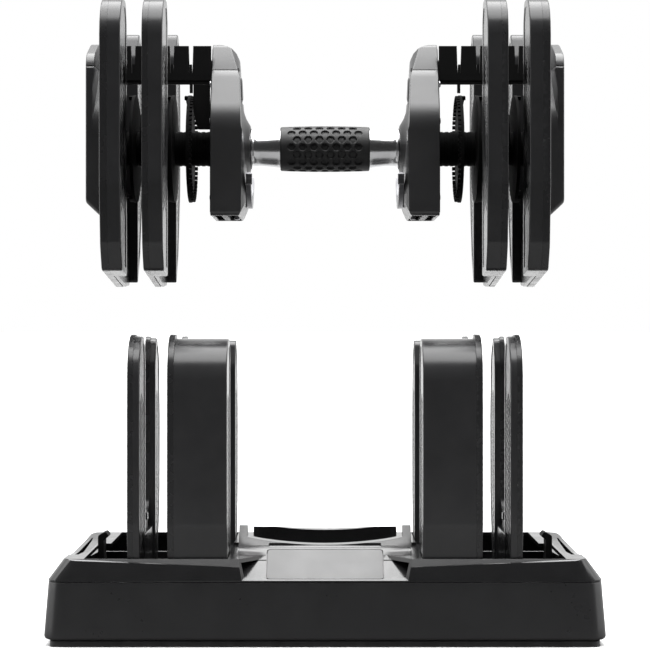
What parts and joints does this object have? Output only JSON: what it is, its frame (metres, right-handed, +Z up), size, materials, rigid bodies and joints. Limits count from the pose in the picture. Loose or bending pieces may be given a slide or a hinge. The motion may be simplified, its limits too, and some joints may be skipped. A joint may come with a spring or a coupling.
{
  "type": "adjustable dumbbell",
  "caption": "Adjustable dumbbell with a turning grip and U-shaped weight plates, lifted from its storage tray; unselected plates stay in the tray.",
  "frame": {"origin": "middle of the tray at floor level", "axes": "+X along the handle, +Y away from the user, +Z up"},
  "size_m": [0.439, 0.224, 0.5096],
  "materials": {
    "satin_black": "satin moulded",
    "deep_black": "fine matt moulded",
    "selector_black": "glass-filled nylon, satin",
    "painted_steel": "black powder coat",
    "plate_iron": "iron weights in a satin black moulded coat",
    "chrome": "polished chrome plate",
    "grip_rubber": "dimpled moulded rubber",
    "bright_steel": "zinc plated",
    "window_lens": "smoked clear lens",
    "dial_grey": "matt with printed numbers",
    "tray_black": "satin to gloss moulded",
    "panel_grey": "satin inlay",
    "foot_rubber": "matt"
  },
  "bodies": {
    "tray": {"plate_cradle_left": "deep_black", "latch_hook_left": "deep_black", "plate_cradle_right": "deep_black", "latch_hook_right": "deep_black", "tray_base": "tray_black", "tray_deck": "tray_black", "label_panel": "panel_grey", "foot_rail_front": "foot_rubber", "foot_rail_rear": "foot_rubber"},
    "dumbbell": {"plate_b_core_left": "painted_steel", "plate_b_weights_left": "plate_iron", "plate_a_core_left": "painted_steel", "plate_a_weights_left": "plate_iron", "inner_cover_left": "satin_black", "inner_cover_cap_left": "satin_black", "end_cap_left": "satin_black", "end_cap_top_left": "satin_black", "cover_back_plate_left": "deep_black", "carrier_rail_left": "deep_black", "number_window_left": "window_lens", "index_guard_left": "bright_steel", "plate_b_core_right": "painted_steel", "plate_b_weights_right": "plate_iron", "plate_a_core_right": "painted_steel", "plate_a_weights_right": "plate_iron", "inner_cover_right": "satin_black", "inner_cover_cap_right": "satin_black", "end_cap_right": "satin_black", "end_cap_top_right": "satin_black", "cover_back_plate_right": "deep_black", "carrier_rail_right": "deep_black", "number_window_right": "window_lens", "index_guard_right": "bright_steel", "rail_bracket_left": "deep_black"},
    "handle": {"handle_tube": "chrome", "grip_sleeve": "grip_rubber", "drive_rod": "bright_steel", "selector_k_left": "selector_black", "selector_b_left": "selector_black", "selector_t_left": "selector_black", "selector_a_left": "selector_black", "dial_ring_left": "dial_grey", "rod_nut_left": "bright_steel", "selector_k_right": "selector_black", "selector_b_right": "selector_black", "selector_t_right": "selector_black", "selector_a_right": "selector_black", "dial_ring_right": "dial_grey", "rod_nut_right": "bright_steel"},
    "lock_pin_left": {"lock_pin_left": "bright_steel"},
    "lock_pin_right": {"lock_pin_right": "bright_steel"},
    "plate_t_left": {"plate_t_core_left": "painted_steel", "plate_t_weights_left": "plate_iron"},
    "plate_t_right": {"plate_t_core_right": "painted_steel", "plate_t_weights_right": "plate_iron"},
    "plate_k_left": {"plate_k_core_left": "painted_steel", "plate_k_weights_left": "plate_iron"},
    "plate_k_right": {"plate_k_core_right": "painted_steel", "plate_k_weights_right": "plate_iron"}
  },
  "joints": [
    {"name": "dumbbell_lift", "type": "slide", "parent": "tray", "child": "dumbbell", "axis": [0, 0, 1], "range_m": [-0.267, 0]},
    {"name": "handle_turn", "type": "hinge", "parent": "dumbbell", "child": "handle", "pos_m": [0, 0, 0.396], "axis": [1, 0, 0], "range_deg": [-180, 144]},
    {"name": "plate_t_left_lift", "type": "slide", "parent": "tray", "child": "plate_t_left", "axis": [0, 0, 1], "range_m": [0, 0.267]},
    {"name": "plate_k_left_lift", "type": "slide", "parent": "tray", "child": "plate_k_left", "axis": [0, 0, 1], "range_m": [0, 0.267]},
    {"name": "lock_pin_left_press", "type": "slide", "parent": "dumbbell", "child": "lock_pin_left", "axis": [0, 0, 1], "range_m": [0, 0.0025], "stiffness_N_per_m": 150, "springref_m": -0.004},
    {"name": "plate_t_right_lift", "type": "slide", "parent": "tray", "child": "plate_t_right", "axis": [0, 0, 1], "range_m": [0, 0.267]},
    {"name": "plate_k_right_lift", "type": "slide", "parent": "tray", "child": "plate_k_right", "axis": [0, 0, 1], "range_m": [0, 0.267]},
    {"name": "lock_pin_right_press", "type": "slide", "parent": "dumbbell", "child": "lock_pin_right", "axis": [0, 0, 1], "range_m": [0, 0.0025], "stiffness_N_per_m": 150, "springref_m": -0.004}
  ]
}
